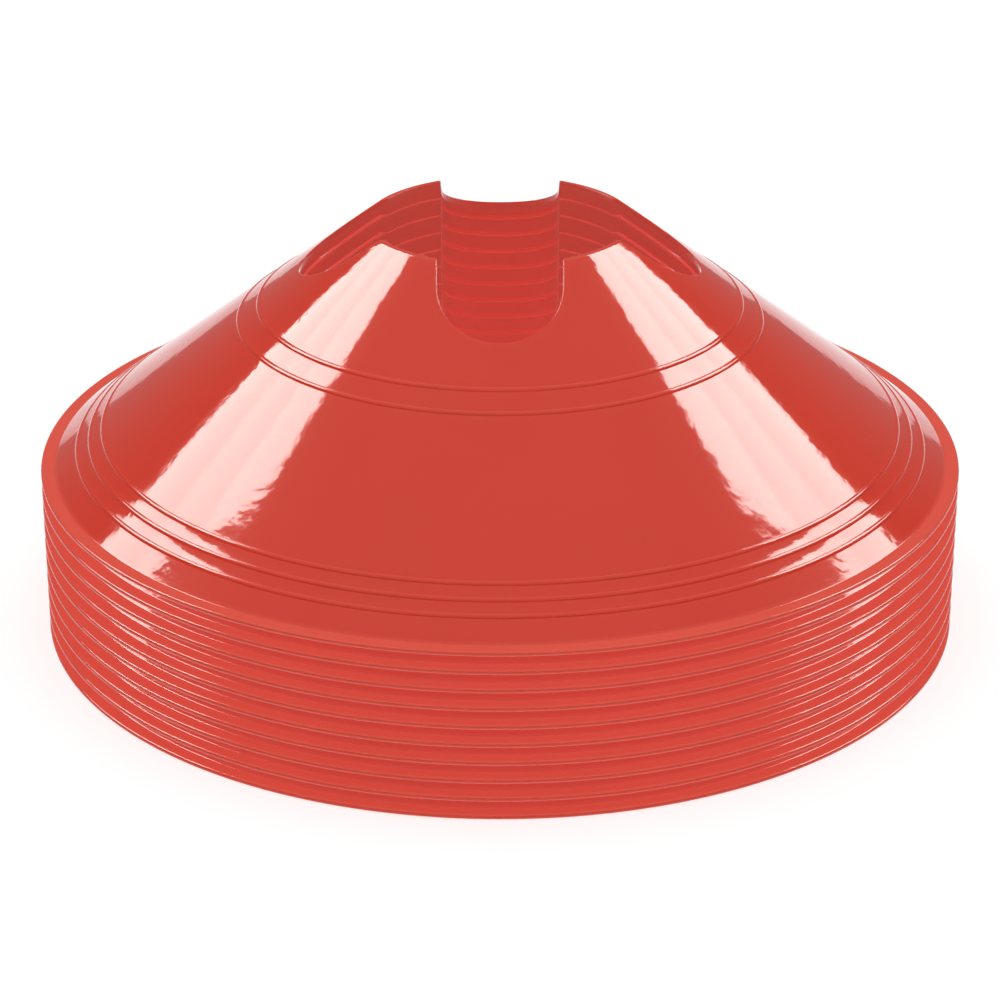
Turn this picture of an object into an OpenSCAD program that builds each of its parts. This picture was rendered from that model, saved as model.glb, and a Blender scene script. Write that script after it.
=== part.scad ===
// A nested stack of disc marker cones, the flat field markers of drills and small games.
// Each cone is one moulding: a straight slope, a thin brim and a round opening with notches.
// The origin is on the ground, on the stack's axis, and +Z is up.

/* [Cone] */
// Diameter over the brim
cone_d = 190; // [160:1:240]
// Height from the ground to the top of the rim
cone_h = 51; // [42:0.5:64]
// Diameter of the round opening
hole_d = 52.4; // [46:0.2:60]
// Thickness of the sloping wall
wall = 2.5; // [1.8:0.1:3]

/* [Brim] */
// Thickness of the flat brim
brim_t = 0.9; // [0.7:0.1:1.6]
// Width of the flat brim, from its edge to the foot of the slope
brim_w = 2.9; // [2:0.1:6]
// Radius of the hollow corner at the foot of the slope
foot_fillet = 0.4; // [0.2:0.1:0.8]

/* [Rim] */
// Width of the level land between the opening and the slope
rim_w = 1; // [0.9:0.1:2]
// Radius of the rim's edges at the opening
rim_fillet = 0.4; // [0.1:0.05:0.4]
// Radius of the shoulder where the land turns down into the slope
shoulder_fillet = 0.8; // [0.3:0.1:0.8]

/* [Notches] */
// Number of notches round the opening
notch_count = 4; // [3:1:5]
// Width of a notch across its round end
notch_w = 24.6; // [16:0.2:27]
// How much wider a notch is at its mouth, on each side
notch_flare = 0.4; // [0.1:0.1:1]
// Distance from the opening's edge to the end of a notch
notch_reach = 14.7; // [13.6:0.1:18]

/* [Ridges] */
// Width of a ring ridge across the slope
ridge_w = 1.2; // [0.8:0.1:1.6]
// Height of a ring ridge above the slope
ridge_h = 0.2; // [0.15:0.05:0.4]
// Level distance from the opening's edge to the first upper ridge
upper_ridge_in = 23.1; // [20:0.1:26]
// Level spacing of the upper ridges
upper_ridge_step = 4.15; // [2:0.05:5]
// Level distance from the foot of the slope to the outermost lower ridge
lower_ridge_in = 4.7; // [2:0.1:7]
// Level spacing of the lower ridges
lower_ridge_step = 2.7; // [2:0.1:4]

/* [Nesting] */
// Clearance between one cone and the next
nest_gap = 0.3; // [0.2:0.05:0.6]

/* [Hidden] */
NODES = [
    "cone_01", "cone_02", "cone_03", "cone_04", "cone_05",
    "cone_06", "cone_07", "cone_08", "cone_09", "cone_10"
];
$fn = 96;
upper_ridge_count = 2;
lower_ridge_count = 3;
cone_r = cone_d / 2;
hole_r = hole_d / 2;
lip_r = brim_t / 2;
foot_r = cone_r - brim_w;
shoulder_r = hole_r + rim_w;
slope_angle = atan2(cone_h - brim_t, foot_r - shoulder_r);
wall_drop = wall / cos(slope_angle);
// The cones seat on each other's rims, and the ridges just clear the next cone's inside
pitch = (wall + ridge_h + nest_gap) / cos(slope_angle);
rim_h = pitch - nest_gap;
rim_under = cone_h - rim_h;
ridge_arc_r = (pow(ridge_w / 2, 2) + pow(ridge_h, 2)) / (2 * ridge_h);
notch_r = notch_w / 2;
notch_centre = hole_r + notch_reach - notch_r;

// Height of the slope's outer face at a distance from the axis
function slope_z(r) = brim_t + (foot_r - r) * tan(slope_angle);
// Distance from the axis at which the wall's inner face has a height
function inner_r(z) = foot_r - (z + wall_drop - brim_t) / tan(slope_angle);
function unit(v) = v / norm(v);
function half_angle(a, b, c) = acos(unit(a - b) * unit(c - b)) / 2;
// Where a round of radius r on the corner b leaves the side that runs to a
function round_start(a, b, c, r) = b + unit(a - b) * r / tan(half_angle(a, b, c));
// Centre of that round
function round_centre(a, b, c, r) =
    b + unit(unit(a - b) + unit(c - b)) * r / sin(half_angle(a, b, c));

// Corners of a cone's section, as distance from the axis and height
inner_foot = [inner_r(0), 0];
lip_low = [cone_r - lip_r, 0];
lip_high = [cone_r - lip_r, brim_t];
foot = [foot_r, brim_t];
shoulder = [shoulder_r, cone_h];
rim_high = [hole_r, cone_h];
rim_low = [hole_r, rim_under];
rim_root = [inner_r(rim_under), rim_under];

// The section's straight sides, each rounded corner cut off where its round starts
module section_sides() {
    polygon([
        inner_foot,
        lip_low,
        lip_high,
        round_start(lip_high, foot, shoulder, foot_fillet),
        round_start(shoulder, foot, lip_high, foot_fillet),
        round_start(foot, shoulder, rim_high, shoulder_fillet),
        round_start(rim_high, shoulder, foot, shoulder_fillet),
        round_start(shoulder, rim_high, rim_low, rim_fillet),
        round_start(rim_low, rim_high, shoulder, rim_fillet),
        round_start(rim_high, rim_low, rim_root, rim_fillet),
        round_start(rim_root, rim_low, rim_high, rim_fillet),
        rim_root
    ]);
}

// A low round ridge on the slope, rooted in half of the wall
module ridge_section(r) {
    translate([r, slope_z(r)]) rotate(-slope_angle) intersection() {
        translate([0, ridge_h - ridge_arc_r]) circle(r = ridge_arc_r);
        translate([-ridge_w / 2, -wall / 2]) square([ridge_w, wall / 2 + ridge_h]);
    }
}

module cone_section() {
    difference() {
        union() {
            section_sides();
            translate([cone_r - lip_r, lip_r]) circle(r = lip_r);
            translate(round_centre(foot, shoulder, rim_high, shoulder_fillet))
                circle(r = shoulder_fillet);
            translate(round_centre(shoulder, rim_high, rim_low, rim_fillet)) circle(r = rim_fillet);
            translate(round_centre(rim_high, rim_low, rim_root, rim_fillet)) circle(r = rim_fillet);
            for (i = [0 : upper_ridge_count - 1])
                ridge_section(hole_r + upper_ridge_in + i * upper_ridge_step);
            for (i = [0 : lower_ridge_count - 1])
                ridge_section(foot_r - lower_ridge_in - i * lower_ridge_step);
        }
        translate(round_centre(lip_high, foot, shoulder, foot_fillet)) circle(r = foot_fillet);
    }
}

// Plan of one notch: a round end, and sides that open a little towards the middle
module notch_plan() {
    translate([notch_centre, 0]) circle(r = notch_r);
    polygon([
        [notch_centre, notch_r],
        [0, notch_r + notch_flare],
        [0, -notch_r - notch_flare],
        [notch_centre, -notch_r]
    ]);
}

// One cone, with its notches cut straight down as its mould draws
module marker_cone() {
    color([0.8, 0.22, 0.17]) difference() {
        rotate_extrude($fn = 180) cone_section();
        for (i = [0 : notch_count - 1])
            rotate(90 + i * 360 / notch_count) linear_extrude(cone_h + rim_h) notch_plan();
    }
}

// The cones from the lowest to the top one, each raised by one nesting step
for (i = [0 : len(NODES) - 1])
    translate([0, 0, i * pitch]) marker_cone();
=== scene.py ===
# %% [markdown]
# # A nested stack of disc marker cones
# Ten low field cones lie one inside the next. Each is a single moulding of glossy red plastic:
# a straight slope, a thin flat brim, five fine ring ridges and a round opening with four notches.
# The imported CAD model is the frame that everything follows, so it is loaded first. Every size
# below agrees with it.

# %% Load the frame
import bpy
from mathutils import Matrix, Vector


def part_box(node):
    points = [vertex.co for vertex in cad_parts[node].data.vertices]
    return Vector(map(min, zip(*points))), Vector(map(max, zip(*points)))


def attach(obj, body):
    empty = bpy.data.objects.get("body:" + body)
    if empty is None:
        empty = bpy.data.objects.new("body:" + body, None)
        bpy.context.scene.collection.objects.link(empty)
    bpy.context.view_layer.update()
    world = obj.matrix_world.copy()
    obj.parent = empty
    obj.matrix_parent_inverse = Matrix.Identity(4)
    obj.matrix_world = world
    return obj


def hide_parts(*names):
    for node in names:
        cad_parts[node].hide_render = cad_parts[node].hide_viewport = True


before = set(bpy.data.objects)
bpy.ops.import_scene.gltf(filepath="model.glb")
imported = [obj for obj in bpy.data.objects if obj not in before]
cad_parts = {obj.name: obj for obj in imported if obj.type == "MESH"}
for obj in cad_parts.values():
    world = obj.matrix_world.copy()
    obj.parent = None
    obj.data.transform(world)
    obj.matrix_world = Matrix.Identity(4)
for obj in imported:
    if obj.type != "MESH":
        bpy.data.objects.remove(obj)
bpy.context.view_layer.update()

# %% [markdown]
# Blender's lengths are metres, but some of its mesh tools are coarse below a millimetre, so the
# cone is modelled with one unit for one millimetre and brought down to metres when it is done.

# %% Units and part names
import math

import bmesh
import bpy
from mathutils import Matrix, Vector

MM = 0.001
names = sorted(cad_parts)

# %% [markdown]
# The main sizes are read from the frame: the radius and height of a cone, and the step from one
# cone to the next. The smaller ones repeat the sizes of the CAD source, in millimetres.

# %% Sizes of one cone
low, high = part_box(names[0])
CONE_R, CONE_H = high.x / MM, high.z / MM
STEP = (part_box(names[1])[0].z - low.z) / MM
HOLE_R, WALL = 26.2, 2.5
BRIM_T, BRIM_W, FOOT_FILLET = 0.9, 2.9, 0.4
RIM_W, SHOULDER_FILLET, NEST_GAP = 1.0, 0.8, 0.3
NOTCHES, NOTCH_W, NOTCH_FLARE, NOTCH_REACH = 4, 24.6, 0.4, 14.7
RIDGE_W, RIDGE_H = 1.2, 0.2
UPPER_RIDGE_IN, UPPER_RIDGE_STEP = 23.1, 4.15
LOWER_RIDGE_IN, LOWER_RIDGE_STEP = 4.7, 2.7
FOOT_R, SHOULDER_R = CONE_R - BRIM_W, HOLE_R + RIM_W
RIDGES = [HOLE_R + (UPPER_RIDGE_IN + i * UPPER_RIDGE_STEP) for i in (0, 1)]
RIDGES += [FOOT_R - (LOWER_RIDGE_IN + i * LOWER_RIDGE_STEP) for i in (2, 1, 0)]
NOTCH_R = NOTCH_W / 2
NOTCH_C = HOLE_R + NOTCH_REACH - NOTCH_R
print(f"radius {CONE_R:.2f}, height {CONE_H:.2f}, step {STEP:.2f}")

# %% [markdown]
# The slope is straight, so one angle gives the height of its outer and its inner face at any
# distance from the axis.

# %% The slope
SLOPE = math.atan2(CONE_H - BRIM_T, FOOT_R - SHOULDER_R)
WALL_DROP = WALL / math.cos(SLOPE)
RIM_H = STEP - NEST_GAP


def outer_z(r):
    """Height of the slope's outer face at a distance from the axis."""
    return BRIM_T + (FOOT_R - r) * math.tan(SLOPE)


def inner_z(r):
    """Height of the slope's inner face at a distance from the axis."""
    return outer_z(r) - WALL_DROP


def inner_r(z):
    """Distance from the axis at which the inner face has a height."""
    return FOOT_R - (z + WALL_DROP - BRIM_T) / math.tan(SLOPE)


INNER_FOOT_R = inner_r(0)
print(f"slope {math.degrees(SLOPE):.2f} degrees, inner foot at {INNER_FOOT_R:.2f}")

# %% [markdown]
# Small rounds in the section are short arcs. A helper lists the points of an arc, and a ridge is
# an arc that lies on the slope.

# %% Arcs of the section
RIDGE_STEPS = 8


def arc(centre, radius, start, end, steps):
    """Points on an arc between two angles in degrees, as distance from the axis and height."""
    angles = [math.radians(start + (end - start) * i / steps) for i in range(steps + 1)]
    return [(centre[0] + radius * math.cos(t), centre[1] + radius * math.sin(t)) for t in angles]


def ridge(r):
    """Points over one ring ridge, from its upper foot to its lower one."""
    bend = ((RIDGE_W / 2) ** 2 + RIDGE_H**2) / (2 * RIDGE_H)
    lean = 90 - math.degrees(SLOPE)
    reach = math.degrees(math.asin(RIDGE_W / 2 / bend))
    depth = bend - RIDGE_H
    centre = (r - depth * math.sin(SLOPE), outer_z(r) - depth * math.cos(SLOPE))
    return arc(centre, bend, lean + reach, lean - reach, RIDGE_STEPS)


print("ridge points:", len(ridge(RIDGES[0])))

# %% [markdown]
# The outer part of the cone, past the notches, is the same all the way round. So its section is
# drawn as one line: down the slope over the ridges, round the edge of the brim and back up the
# inner face.

# %% The section outside the notches
RING_R = 45.0
LIP_R = BRIM_T / 2
FILLET_STEPS, LIP_STEPS = 4, 10
section = [(RING_R, outer_z(RING_R))]
for r in RIDGES:
    section += ridge(r)
fillet_centre = (FOOT_R + FOOT_FILLET * math.tan(SLOPE / 2), BRIM_T + FOOT_FILLET)
section += arc(fillet_centre, FOOT_FILLET, 270 - math.degrees(SLOPE), 270, FILLET_STEPS)
section += arc((CONE_R - LIP_R, LIP_R), LIP_R, 90, -90, LIP_STEPS)
section += [(INNER_FOOT_R, 0.0), (RING_R, inner_z(RING_R))]
print("section points:", len(section))

# %% [markdown]
# A lathe shape starts from its section. A plane is merged to one point, and that point is extruded
# from place to place, as a pen draws a line. Spin then sweeps the line round the axis.
# The number of steps suits the opening: in an eighth of the turn, 18 steps go to half a notch's
# round end and 14 to half of the post between two notches.

# %% Draw the section and spin it
ARC_STEPS, POST_STEPS = 18, 14
EIGHTH = ARC_STEPS + POST_STEPS
AROUND = 2 * NOTCHES * EIGHTH
SAME = 0.01  # vertices this near, in mm, are one
bpy.ops.object.select_all(action="DESELECT")
bpy.ops.mesh.primitive_plane_add(size=1)
cone = bpy.context.object
cone.name = "marker_cone"
bpy.ops.object.mode_set(mode="EDIT")
bpy.ops.mesh.merge(type="CENTER")
bpy.ops.transform.translate(value=(section[0][0], 0, section[0][1]))
for a, b in zip(section, section[1:]):
    stroke = {"value": (b[0] - a[0], 0, b[1] - a[1])}
    bpy.ops.mesh.extrude_vertices_move(TRANSFORM_OT_translate=stroke)
bpy.ops.mesh.select_all(action="SELECT")
bpy.ops.mesh.spin(steps=AROUND, angle=math.tau, center=(0, 0, 0), axis=(0, 0, 1))
bpy.ops.mesh.select_all(action="SELECT")
bpy.ops.mesh.remove_doubles(threshold=SAME)
print("spun faces:", len(bmesh.from_edit_mesh(cone.data).faces))

# %% [markdown]
# Each column of vertices gets its number, and what is extruded from a vertex keeps it. So a row
# can be extruded first and then be put in place, column by column.

# %% Number the columns
bm = bmesh.from_edit_mesh(cone.data)
column = bm.verts.layers.int.new("column")
for v in bm.verts:
    v[column] = round(math.atan2(v.co.y, v.co.x) / math.tau * AROUND) % AROUND
bmesh.update_edit_mesh(cone.data)


def pick_edges(test):
    """Selects only the edges that pass a test on the edge and its two columns."""
    bpy.ops.mesh.select_all(action="DESELECT")
    bpy.ops.mesh.select_mode(type="EDGE")
    bm = bmesh.from_edit_mesh(cone.data)
    column = bm.verts.layers.int["column"]
    found = [e for e in bm.edges if test(e, [v[column] for v in e.verts])]
    for e in found:
        e.select_set(True)
    bmesh.update_edit_mesh(cone.data)
    return len(found)


def extrude_to(place):
    """Extrudes the picked edges once and moves each new vertex to its column's place."""
    bpy.ops.mesh.extrude_edges_move()
    bm = bmesh.from_edit_mesh(cone.data)
    column = bm.verts.layers.int["column"]
    for v in bm.verts:
        if v.select:
            v.co = place(v[column])
    bmesh.update_edit_mesh(cone.data)


print("columns:", AROUND)

# %% [markdown]
# The opening's outline is given by column. Seen from above, the columns near a notch's middle
# stand on its round end, and the others stand on the post between two notches. The notch's sides
# open a little towards the axis.

# %% Where the columns stand


def fold(k):
    """A column's nearest notch axis, its side of that axis, and its steps away from it."""
    nearest = round(k / (2 * EIGHTH))
    steps = k - nearest * 2 * EIGHTH
    return nearest * math.tau / NOTCHES, (1 if steps >= 0 else -1), abs(steps)


def turned(k, x, y, z):
    """A point beside a column's notch axis, brought to its place round the cone."""
    axis, side, _ = fold(k)
    y *= side
    c, s = math.cos(axis), math.sin(axis)
    return Vector((x * c - y * s, x * s + y * c, z))


def notch_side(r):
    """Angle from the notch's axis at which its side crosses a distance from the cone's axis."""
    k = NOTCH_FLARE / NOTCH_C
    mouth = NOTCH_R + NOTCH_FLARE
    a, b, c = 1 + k * k, -2 * k * mouth, mouth**2 - r * r
    x = (-b + math.sqrt(b * b - 4 * a * c)) / (2 * a)
    return math.acos(x / r)


def on_post(k, r, z):
    """A column's point on the post, at a distance from the axis and a height."""
    steps = fold(k)[2] - ARC_STEPS
    start = notch_side(r)
    t = start + (math.pi / NOTCHES - start) * steps / POST_STEPS
    return turned(k, r * math.cos(t), r * math.sin(t), z)


POST_R = math.hypot(NOTCH_C, NOTCH_R)


def outline(k):
    """A column's point on the opening's outline, without its height."""
    steps = fold(k)[2]
    if steps > ARC_STEPS:
        return on_post(k, POST_R, 0)
    t = math.pi / 2 * steps / ARC_STEPS
    return turned(k, NOTCH_C + NOTCH_R * math.cos(t), NOTCH_R * math.sin(t), 0)


print(f"the posts' sides start {POST_R:.2f} from the axis")

# %% [markdown]
# The wall now grows inwards from the spun ring to the outline, in five rows on the outer face and
# five on the inner one. Each row's plan lies between the ring and the outline, and the slope gives
# its height, so the face stays a true cone.

# %% Grow the wall to the opening
ROWS = 5


def between(k, share, height):
    """A column's point at a share of the way from the ring to the outline."""
    t = math.tau * k / AROUND
    p = Vector((RING_R * math.cos(t), RING_R * math.sin(t), 0)).lerp(outline(k), share)
    p.z = height(math.hypot(p.x, p.y))
    return p


middle = (outer_z(RING_R) + inner_z(RING_R)) / 2
for height, above in ((outer_z, True), (inner_z, False)):
    pick_edges(lambda e, _: e.is_boundary and (e.verts[0].co.z > middle) == above
               and abs(e.verts[0].co.xy.length - RING_R) < SAME)
    for row in range(1, ROWS + 1):
        extrude_to(lambda k: between(k, row / ROWS, height))
print("faces with the wall:", len(bmesh.from_edit_mesh(cone.data).faces))

# %% [markdown]
# The four posts rise past the notches' round ends: up the slope, over the shoulder to the level
# land, down the opening's face, and back under the rim to the inner face. Their edges are extruded
# along that path, and the last row meets the inner face.

# %% Raise the posts
CLOSE = 0.1  # what is this near to a face, in mm, is on it
RIM_UNDER = CONE_H - RIM_H
ROOT_R = inner_r(RIM_UNDER)
OUTER_ROW, INNER_ROW, SHOULDER_STEPS = 0.9, 1.1, 4
shoulder_centre = (SHOULDER_R - SHOULDER_FILLET * math.tan(SLOPE / 2), CONE_H - SHOULDER_FILLET)
path = [(r, outer_z(r)) for r in (POST_R - i * OUTER_ROW for i in (1, 2, 3))]
path += arc(shoulder_centre, SHOULDER_FILLET, 90 - math.degrees(SLOPE), 90, SHOULDER_STEPS)
path += [(HOLE_R, z) for z in (CONE_H, CONE_H - RIM_H / 2, RIM_UNDER)]
path += [(ROOT_R, RIM_UNDER)]
path += [(r, inner_z(r)) for r in (ROOT_R + INNER_ROW, ROOT_R + 2 * INNER_ROW, POST_R)]


def is_post(columns):
    return all(fold(k)[2] >= ARC_STEPS for k in columns)


def is_arc(columns):
    return all(fold(k)[2] <= ARC_STEPS for k in columns)


pick_edges(lambda e, columns: e.is_boundary and is_post(columns)
           and e.verts[0].co.z > outer_z(POST_R) - CLOSE)
for r, z in path:
    extrude_to(lambda k: on_post(k, r, z))
print("post rows:", len(path))

# %% [markdown]
# The walls of the notches' round ends are the outer edge extruded straight down to the inner one.
# When the doubled vertices are merged, eight flat sides stay open, and Fill Holes closes them.

# %% Close the notches
pick_edges(lambda e, columns: e.is_boundary and is_arc(columns)
           and all(abs(v.co.z - outer_z(v.co.xy.length)) < SAME for v in e.verts))


def under_outline(k):
    """A column's point on the outline of the inner face."""
    p = outline(k)
    p.z = inner_z(math.hypot(p.x, p.y))
    return p


extrude_to(under_outline)
bpy.ops.mesh.select_all(action="SELECT")
bpy.ops.mesh.remove_doubles(threshold=SAME)
bpy.ops.mesh.select_all(action="SELECT")
bpy.ops.mesh.fill_holes(sides=0)
bpy.ops.mesh.select_all(action="SELECT")
bpy.ops.mesh.normals_make_consistent(inside=False)
print("open edges left:", pick_edges(lambda e, _: not e.is_manifold))

# %% [markdown]
# A moulding has no knife edges. The outer edges round the notches and the rim are well rounded,
# which catches the light as the thin bright line on the real cone, and the inner ones, where the
# mould parts, are only broken. One Bevel modifier makes both, as each edge's weight sets its share
# of the width. They are the only edges inside the ring that turn by 40 degrees or more.

# %% Round the edges
SHARP = math.radians(40)
EDGE_ROUND, INNER_SHARE = 0.40, 0.25
found = pick_edges(lambda e, _: all(v.co.xy.length < RING_R - 1 for v in e.verts)
                   and e.calc_face_angle(0) > SHARP)
bm = bmesh.from_edit_mesh(cone.data)
weight = bm.edges.layers.float.new("bevel_weight_edge")
for e in bm.edges:
    if e.select:
        at_hole = [v.co.xy.length < HOLE_R + CLOSE for v in e.verts]
        upper = any(v.co.z > min(CONE_H, outer_z(v.co.xy.length)) - CLOSE for v in e.verts)
        upright = at_hole[0] and abs(e.verts[0].co.z - e.verts[1].co.z) > RIM_H / 3
        e[weight] = 1.0 if upright or (upper and not all(at_hole)) else INNER_SHARE
bmesh.update_edit_mesh(cone.data)
bpy.ops.object.mode_set(mode="OBJECT")
rounding = cone.modifiers.new("rounding", "BEVEL")
rounding.limit_method = "WEIGHT"
rounding.width = EDGE_ROUND
rounding.segments = 4
rounding.use_clamp_overlap = False
rounding.loop_slide = False
bpy.ops.object.modifier_apply(modifier=rounding.name)
print("edges rounded:", found, "faces:", len(cone.data.polygons))

# %% [markdown]
# Blender's mesh tools don't leave the faces in the same order each time. They are sorted by their
# corners, so that every run gives the same mesh.

# %% Put the faces in order
bm = bmesh.new()
bm.from_mesh(cone.data)
ranked = sorted(bm.faces, key=lambda f: sorted(v.index for v in f.verts))
rank = {f: i for i, f in enumerate(ranked)}
bm.faces.sort(key=rank.get)
bm.to_mesh(cone.data)
bm.free()
print("faces in order:", len(cone.data.polygons))

# %% [markdown]
# The cone goes down to metres, and its faces are shaded smooth up to 40 degrees, so that the feet
# of the ridges stay crisp. Weighted normals then let the large faces rule over the narrow rounds
# beside them: without them the slope would seem to bulge at each edge.

# %% Scale and smooth
cone.scale = (MM, MM, MM)
bpy.ops.object.transform_apply(location=True, rotation=True, scale=True)
bpy.ops.object.shade_smooth_by_angle(angle=SHARP)
weighted = cone.modifiers.new("weighted", "WEIGHTED_NORMAL")
weighted.keep_sharp = True
weighted.weight = 80
bpy.ops.object.modifier_apply(modifier=weighted.name)
cone.data.attributes.remove(cone.data.attributes["column"])
bm = bmesh.new()
bm.from_mesh(cone.data)
volume, open_edges = bm.calc_volume() / MM**3, sum(not e.is_manifold for e in bm.edges)
print(f"volume {volume:.0f} cubic mm, open edges {open_edges}")
bm.free()

# %% [markdown]
# A finish is a small graph of shader nodes. Two helpers keep it readable: Value wraps a socket, so
# that sums are written as Python sums, and Finish adds any other node in one call.

# %% Helpers for finishes


class Value:
    """A socket that can stand in a sum."""

    def __init__(self, finish, socket):
        self.finish, self.socket = finish, socket

    def sum(self, operation, first, second):
        return self.finish.node("ShaderNodeMath", {"operation": operation}, {0: first, 1: second})

    def __add__(self, other):
        return self.sum("ADD", self, other)

    def __sub__(self, other):
        return self.sum("SUBTRACT", self, other)

    def __mul__(self, other):
        return self.sum("MULTIPLY", self, other)

    def __rsub__(self, other):
        return self.sum("SUBTRACT", other, self)

    def most(self, other):
        return self.sum("MAXIMUM", self, other)

    __radd__ = __add__
    __rmul__ = __mul__


class Finish:
    """A material, or the world, and the one method that adds nodes to it."""

    def __init__(self, name, world=None):
        self.owner = world or bpy.data.materials.new(name)
        self.owner.use_nodes = True
        self.tree = self.owner.node_tree
        self.tree.nodes.clear()

    def node(self, kind, settings=None, sockets=None, out=0):
        """Adds a node with its settings and its inputs, and gives back one of its outputs."""
        made = self.tree.nodes.new(kind)
        for key, value in (settings or {}).items():
            setattr(made, key, value)
        for key, value in (sockets or {}).items():
            if isinstance(value, Value):
                self.tree.links.new(value.socket, made.inputs[key])
            else:
                made.inputs[key].default_value = value
        return Value(self, made.outputs[out]) if made.outputs else made


SHARE, FIRST, SECOND, MIXED = 0, 6, 7, 2  # sockets of a Mix node that mixes colours
WHITE = (1, 1, 1, 1)
print("finish helpers ready")

# %% [markdown]
# The plastic is a glossy red polyethylene. It is close to one colour, with a faint cloudiness. The
# thin brim is painted a little lighter: painted light, for the light on its flat top and through
# it.

# %% Red plastic: colour, with painted light on the brim
DEEP_RED, CLEAR_RED = (0.555, 0.029, 0.010, 1), (0.600, 0.034, 0.013, 1)
# Painted light: the brim's lighter red stands in for the light on its flat top and through it.
BRIM_PAINTED_LIGHT_RED = (0.64, 0.064, 0.035, 1)
BRIM_FROM, BRIM_FULL = 0.0914, 0.0925  # metres from the axis
CLOUDS, WAVES, GRAIN = 28.0, 260.0, 1100.0  # features in a metre
red = Finish("red_plastic")
where = red.node("ShaderNodeTexCoord", out="Object")
broad, waves, grain = (
    red.node("ShaderNodeTexNoise", None, {"Vector": where, "Scale": scale, "Detail": 2.0}, "Fac")
    for scale in (CLOUDS, WAVES, GRAIN))
tone = red.node("ShaderNodeMix", {"data_type": "RGBA"},
                {SHARE: broad, FIRST: DEEP_RED, SECOND: CLEAR_RED}, MIXED)
level = red.node("ShaderNodeVectorMath", {"operation": "MULTIPLY"}, {0: where, 1: (1, 1, 0)})
radius = red.node("ShaderNodeVectorMath", {"operation": "LENGTH"}, {0: level}, "Value")
# Painted light: past the brim's foot the colour turns to the lighter brim red.
brim = red.node("ShaderNodeMapRange", None,
                {"Value": radius, "From Min": BRIM_FROM, "From Max": BRIM_FULL})
tone = red.node("ShaderNodeMix", {"data_type": "RGBA"},
                {SHARE: brim * (0.75 + 0.4 * broad), FIRST: tone, SECOND: BRIM_PAINTED_LIGHT_RED}, MIXED)
print("nodes for the colour:", len(red.tree.nodes))

# %% [markdown]
# The reflections show that the skin is not perfect: there are soft waves from the shrinking of the
# wall, a fine grain, and a faint cloudiness in the gloss.

# %% Red plastic: gloss
RELIEF_DEPTH = 0.00004  # metres
gloss = 0.045 + 0.02 * broad + 0.01 * grain
relief = waves + 0.10 * grain
bump = red.node("ShaderNodeBump", None,
                {"Strength": 1.0, "Distance": RELIEF_DEPTH, "Height": relief})
skin = red.node("ShaderNodeBsdfPrincipled", None, {
    "Base Color": tone, "Roughness": gloss, "Normal": bump, "IOR": 1.42})
print("nodes with the gloss:", len(red.tree.nodes))

# %% [markdown]
# Round the opening, what lies under the top cone's slope, its own walls and all of the nested
# rims, is matt and painted paler. The paler red is painted light, which brightens the opening's
# inside.

# %% Red plastic: matt skin and painted light round the opening
# Painted light: a paler red that brightens the walls seen inside the opening.
OPENING_PAINTED_LIGHT_RED = (0.62, 0.082, 0.062, 1)
UNDER_FROM, UNDER_FULL = 0.0010, 0.0018  # metres below the line of the top cone's slope
INSIDE_FROM, INSIDE_FULL = 0.0470, 0.0440  # metres from the axis
height = red.node("ShaderNodeSeparateXYZ", None, {"Vector": where}, "Z")
top_line = (outer_z(0) + (len(names) - 1) * STEP) * MM
sunk = top_line - math.tan(SLOPE) * radius - height
under = red.node("ShaderNodeMapRange", None,
                 {"Value": sunk, "From Min": UNDER_FROM, "From Max": UNDER_FULL})
inside = red.node("ShaderNodeMapRange", None,
                  {"Value": radius, "From Min": INSIDE_FROM, "From Max": INSIDE_FULL})
matt_painted_light_skin = red.node("ShaderNodeBsdfPrincipled", None, {
    "Base Color": OPENING_PAINTED_LIGHT_RED, "Roughness": 0.7, "Specular IOR Level": 0.05})
# Painted light: the pale matt skin is mixed in under the top cone's slope, near the axis.
surface = red.node("ShaderNodeMixShader", None, {0: under * inside, 1: skin, 2: matt_painted_light_skin})
red.node("ShaderNodeOutputMaterial", None, {"Surface": surface})
cone.data.materials.append(red.owner)
print("nodes in red_plastic:", len(red.tree.nodes))

# %% [markdown]
# One cone is modelled, and the other nine are copies of it, each with its own mesh. A copy is
# raised in its mesh, not by its object, because every finished piece's object sits at the origin.
# Each rides on its own CAD body, so that the stack can be taken apart. The cones are left out of
# each other's reflections: in the photograph the slope in each narrow gap shows the studio's pale
# sheen, and not the underside of the brim above it.

# %% Copy the cone up the stack
bpy.ops.object.select_all(action="DESELECT")
for i, name in enumerate(names):
    piece = cone
    if i:
        piece = cone.copy()
        piece.data = cone.data.copy()
        bpy.context.scene.collection.objects.link(piece)
        for v in piece.data.vertices:
            v.co.z += i * STEP * MM
    piece.name = piece.data.name = "moulded_" + name
    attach(piece, name)
    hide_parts(name)
    piece.visible_glossy = False
print("cones:", len(names))

# %% [markdown]
# The photograph looks down on the stack by 24 degrees through a long lens, with the stack in the
# middle.

# %% Camera
TILT = math.radians(24.34)
AWAY, LOOK_Z = 0.70, 0.0227
camera_data = bpy.data.cameras.new("camera")
camera_data.lens = 120.0
camera_data.sensor_width = 36.0
camera_data.clip_start = 0.05
camera = bpy.data.objects.new("camera", camera_data)
bpy.context.scene.collection.objects.link(camera)
camera.location = (0, -AWAY * math.cos(TILT), LOOK_Z + AWAY * math.sin(TILT))
camera.rotation_euler = (math.pi / 2 - TILT, 0, 0)
bpy.context.scene.camera = camera
print("camera at", [round(x, 3) for x in camera.location])

# %% [markdown]
# Every light is a softbox that faces the stack. In the photograph the narrow gaps between the
# brims aren't dark, so the softboxes use shadow linking: only what is in one collection can stop
# them, and the stack isn't in it.

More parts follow.
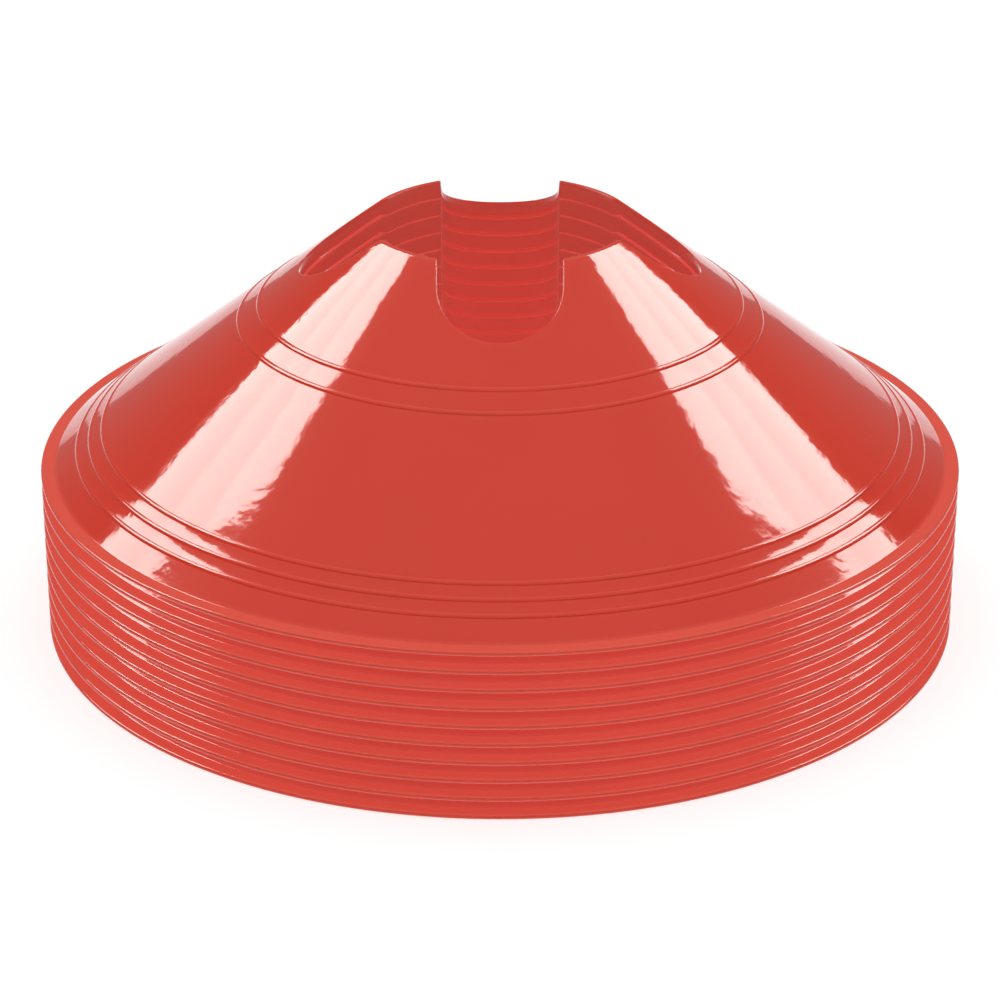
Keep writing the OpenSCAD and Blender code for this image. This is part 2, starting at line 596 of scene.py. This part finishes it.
# %% Helpers for lights
stoppers = bpy.data.collections.new("stops_the_lamps")


def place_flat(thing, place, along):
    """Turns a flat thing at a place towards the stack, its first side laid along a line."""
    back = Vector(place).normalized()
    side = Vector(along)
    side = (side - back * side.dot(back)).normalized()
    facing = Matrix((side, back.cross(side), back)).transposed().to_4x4()
    thing.matrix_world = Matrix.Translation(Vector(place) + Vector((0, 0, LOOK_Z))) @ facing


def softbox(name, place, size, radiance, along=(1, 0, 0), color=(1, 1, 1)):
    """A rectangular light that faces the stack."""
    data = bpy.data.lights.new(name, "AREA")
    data.shape = "RECTANGLE"
    data.size, data.size_y = size
    data.energy = radiance * math.pi * size[0] * size[1]
    data.color = color
    lamp = bpy.data.objects.new(name, data)
    lamp.visible_camera = False
    lamp.light_linking.blocker_collection = stoppers
    bpy.context.scene.collection.objects.link(lamp)
    place_flat(lamp, place, along)
    return lamp


print("light helpers ready")

# %% [markdown]
# A square softbox stands behind the stack on each side. A cone turns a far light into a streak
# that runs straight up its slope: the light's length sets the streak's width, and its height must
# cover the slope from the post to the brim. Plastic reflects more at a flat angle than at a steep
# one, so each softbox is made of panels, the brightest at the steep end, and the streak comes out
# even. They are seen in the gloss alone and add nothing to the colour.

# %% Softboxes for the streaks
WARM = (1.0, 0.955, 0.90)
PANEL_AWAY, PANEL_W = 0.9, 0.1325
ALONG, ACROSS = 0.857, 0.514  # cosine and sine of the softbox's turn of 31 degrees in its plane
toward = Vector((0.646, 0.4585, 0.61)).normalized()
level_line = toward.cross(Vector((1, 0, 0))).normalized()
rise = toward.cross(level_line)
long_side = level_line * ALONG - rise * ACROSS
short_side = level_line * -ACROSS - rise * ALONG
# Each panel's shift along the long side, its radiance, and its two ends along the short side
PANELS = [
    (-0.194, 16.0, -0.190, 0.212),
    (-0.0615, 13.6, -0.190, 0.206),
    (0.071, 12.0, -0.100, 0.195),
]


def mirrored(side, v):
    """A place or a line as it is on the right, or its mirror image on the left."""
    return Vector((side * v.x, v.y, v.z))


for side in (-1, 1):
    for i, (shift, radiance, top_end, foot_end) in enumerate(PANELS):
        centre = toward * PANEL_AWAY + long_side * shift + short_side * (foot_end + top_end) / 2
        panel = softbox(f"panel_{side}_{i}", mirrored(side, centre), (PANEL_W, foot_end - top_end),
                        radiance, mirrored(side, long_side), WARM)
        panel.visible_diffuse = False
print("panels on each side:", len(PANELS))

# %% [markdown]
# A large soft light overhead and weaker ones in front, below and at the sides light the stack
# evenly, and reflections leave them out. A second light overhead is linked to nothing, and it
# draws the soft shadows.

# %% Lights for the colour
LAMPS = [  # name, place, size and radiance
    ("overhead", (0, 0, 2.4), (2.4, 2.4), 3.7),
    ("shading", (0, 0, 2.2), (1.76, 1.76), 0.7),
    ("front", (0, -1.30, 0.05), (2.4, 0.3), 0.9),
    ("bounce", (0, -1.00, -0.70), (1.0, 0.5), 5.4),
    ("fill_left", (-1.05, 0.35, 0.12), (0.5, 0.5), 3.6),
    ("fill_right", (1.05, 0.35, 0.12), (0.5, 0.5), 3.6),
]
lamps = {name: softbox(name, place, size, radiance) for name, place, size, radiance in LAMPS}
for lamp in lamps.values():
    lamp.visible_glossy = False
lamps["shading"].light_linking.blocker_collection = None

# %% [markdown]
# A ring of grey card stands round the set, as a photographer would place it, so that the flat-on
# slopes and the brims don't mirror the white room. Only reflections see it. It is also the one
# thing in the collection that can stop the linked lights, and as it casts no shadow, nothing does.

# %% Grey card round the set
RING_AWAY, RING_TALL, RING_Z, CARD_GREY = 1.3, 1.1, 0.45, 0.30
bpy.ops.mesh.primitive_cylinder_add(vertices=96, radius=RING_AWAY, depth=RING_TALL,
                                    end_fill_type="NOTHING", location=(0, 0, RING_Z))
grey_ring = bpy.context.object
grey_ring.name = "grey_ring"
grey_ring.visible_camera = grey_ring.visible_diffuse = grey_ring.visible_shadow = False
card = Finish("grey_card")
card_light = card.node("ShaderNodeEmission", None, {"Color": WHITE, "Strength": CARD_GREY})
card.node("ShaderNodeOutputMaterial", None, {"Surface": card_light})
grey_ring.data.materials.append(card.owner)
stoppers.objects.link(grey_ring)
print("grey ring faces:", len(grey_ring.data.polygons))

# %% [markdown]
# The floor is white paper. Near the stack it is matt, which keeps the stack's soft shadow, with a
# glow that only the camera and reflections see. Further out it passes into plain white, so that
# there is no horizon, while the diffuse light from it stays weak.

# %% Floor
FLOOR_SIZE, FLOOR_Z = 16, -0.0002
PAPER_GREY, GLOW, FIBRE_GLOW = 0.52, 0.50, 0.01
FADE_FROM, FADE_FULL = 0.35, 0.9
bpy.ops.mesh.primitive_plane_add(size=FLOOR_SIZE, location=(0, 0, FLOOR_Z))
floor = bpy.context.object
floor.name = "floor"


def seen_in(finish):
    """One for rays from the camera, gloss or glass, and nought for diffuse light."""
    camera_ray, glossy_ray, clear_ray = (
        finish.node("ShaderNodeLightPath", out=f"Is {kind} Ray")
        for kind in ("Camera", "Glossy", "Transmission"))
    return camera_ray.most(glossy_ray).most(clear_ray)


paper = Finish("white_paper")
seen = seen_in(paper)
fibre = paper.node("ShaderNodeTexNoise", None, {"Scale": 40.0, "Detail": 3.0}, "Fac")
matt = paper.node("ShaderNodeBsdfDiffuse", None, {
    "Color": (PAPER_GREY, PAPER_GREY, PAPER_GREY, 1), "Roughness": 0.5})
glow = paper.node("ShaderNodeEmission", None, {
    "Color": WHITE, "Strength": seen * (GLOW + FIBRE_GLOW * fibre)})
near = paper.node("ShaderNodeAddShader", None, {0: matt, 1: glow})
beyond = paper.node("ShaderNodeEmission", None, {"Color": WHITE, "Strength": 0.5 + 0.5 * seen})
place = paper.node("ShaderNodeTexCoord", out="Object")
distance = paper.node("ShaderNodeVectorMath", {"operation": "LENGTH"}, {0: place}, "Value")
far = paper.node("ShaderNodeMapRange", None,
                 {"Value": distance, "From Min": FADE_FROM, "From Max": FADE_FULL})
whole = paper.node("ShaderNodeMixShader", None, {0: far, 1: near, 2: beyond})
paper.node("ShaderNodeOutputMaterial", None, {"Surface": whole})
floor.data.materials.append(paper.owner)
print("nodes of the paper:", len(paper.tree.nodes))

# %% [markdown]
# The backdrop is the world. What the camera and reflections see of it has a strength of one, which
# is white, and the diffuse light from it is weak.

# %% Backdrop
ROOM_LIGHT = 0.08
world = bpy.data.worlds.new("studio")
bpy.context.scene.world = world
sky = Finish("studio", world)
room = sky.node("ShaderNodeBackground", None, {
    "Color": WHITE, "Strength": ROOM_LIGHT + (1 - ROOM_LIGHT) * seen_in(sky)})
sky.node("ShaderNodeOutputWorld", None, {"Surface": room})
bpy.context.scene.view_settings.view_transform = "Standard"
print("nodes of the world:", len(sky.tree.nodes))
